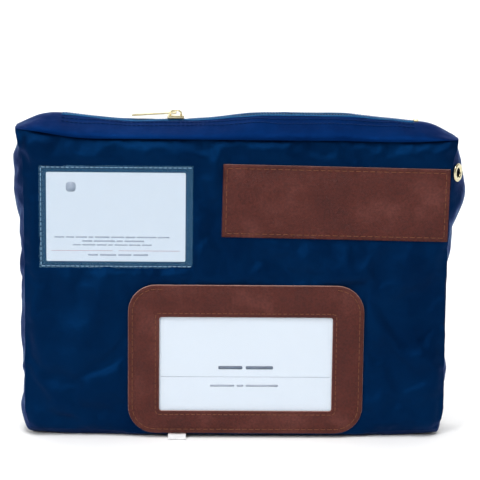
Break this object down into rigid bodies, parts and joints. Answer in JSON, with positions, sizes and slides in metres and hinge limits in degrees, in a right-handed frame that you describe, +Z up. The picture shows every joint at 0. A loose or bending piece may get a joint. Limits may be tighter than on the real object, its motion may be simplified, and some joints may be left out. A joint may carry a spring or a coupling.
{
  "type": "cash deposit bag",
  "caption": "Zipped nylon cash bag with gusset, leather marking patch, framed name-card window, clear card pocket, metal slider and pull, and a side eyelet.",
  "frame": {"origin": "on the floor under the middle of the bag's bottom gusset", "axes": "+X to the viewer's right along the mouth, -Y out of the front face, +Z up"},
  "size_m": [0.28, 0.0479, 0.2032],
  "materials": {
    "nylon": "satin coated nylon",
    "binding": "woven tape",
    "zip_tape": "ribbed woven tape",
    "zip_teeth": "satin",
    "brass": "polished pale brass",
    "leather": "grained",
    "clear_film": "clear glossy",
    "card_stock": "matt card",
    "white_ribbon": "woven ribbon"
  },
  "bodies": {
    "bag": {"front_panel": "nylon", "back_panel": "nylon", "left_gusset": "nylon", "right_gusset": "nylon", "bottom_gusset": "nylon", "front_seam_binding": "binding", "back_seam_binding": "binding", "front_closed_tape": "zip_tape", "back_closed_tape": "zip_tape", "front_closed_teeth": "zip_teeth", "back_closed_teeth": "zip_teeth", "left_end_tab": "nylon", "right_end_tab": "nylon", "left_end_stop": "brass", "right_end_stop": "brass", "card_pocket_film": "clear_film", "marking_patch": "leather", "label_frame": "leather", "window_film": "clear_film", "eyelet": "brass", "eyelet_washer": "brass", "seam_tag": "white_ribbon"},
    "front_lip": {"front_lip_tape": "zip_tape", "front_lip_teeth": "zip_teeth"},
    "back_lip": {"back_lip_tape": "zip_tape", "back_lip_teeth": "zip_teeth"},
    "slider": {"slider_body": "brass", "slider_crown": "brass"},
    "pull": {"pull_tab": "brass"},
    "name_card_carrier": {"name_card": "card_stock"},
    "visiting_card_carrier": {"visiting_card": "card_stock"}
  },
  "joints": [
    {"name": "zip_slide", "type": "slide", "parent": "bag", "child": "slider", "axis": [1, 0, 0], "range_m": [-0.062, 0.137]},
    {"name": "pull_swing", "type": "hinge", "parent": "slider", "child": "pull", "pos_m": [-0.038, 0, 0.20135], "axis": [0, 1, 0], "range_deg": [0, 168.5]},
    {"name": "front_lip_hinge", "type": "hinge", "parent": "bag", "child": "front_lip", "pos_m": [0.045, -0.0204, 0.1875], "axis": [1, 0, 0], "range_deg": [-14.1, 6.5], "deforming": ["front_lip_teeth"]},
    {"name": "back_lip_hinge", "type": "hinge", "parent": "bag", "child": "back_lip", "pos_m": [0.045, 0.0204, 0.1875], "axis": [-1, 0, 0], "range_deg": [-14.1, 6.5], "deforming": ["back_lip_teeth"]},
    {"name": "name_card_slide", "type": "slide", "parent": "bag", "child": "name_card_carrier", "axis": [0, 0, 1], "range_m": [0, 0.024]},
    {"name": "visiting_card_slide", "type": "slide", "parent": "bag", "child": "visiting_card_carrier", "axis": [1, 0, 0], "range_m": [0, 0.02]}
  ],
  "couplings": [
    {"joint": "front_lip_hinge", "follows": "zip_slide", "rad_per_m": -1.7835},
    {"joint": "back_lip_hinge", "follows": "zip_slide", "rad_per_m": -1.7835}
  ]
}
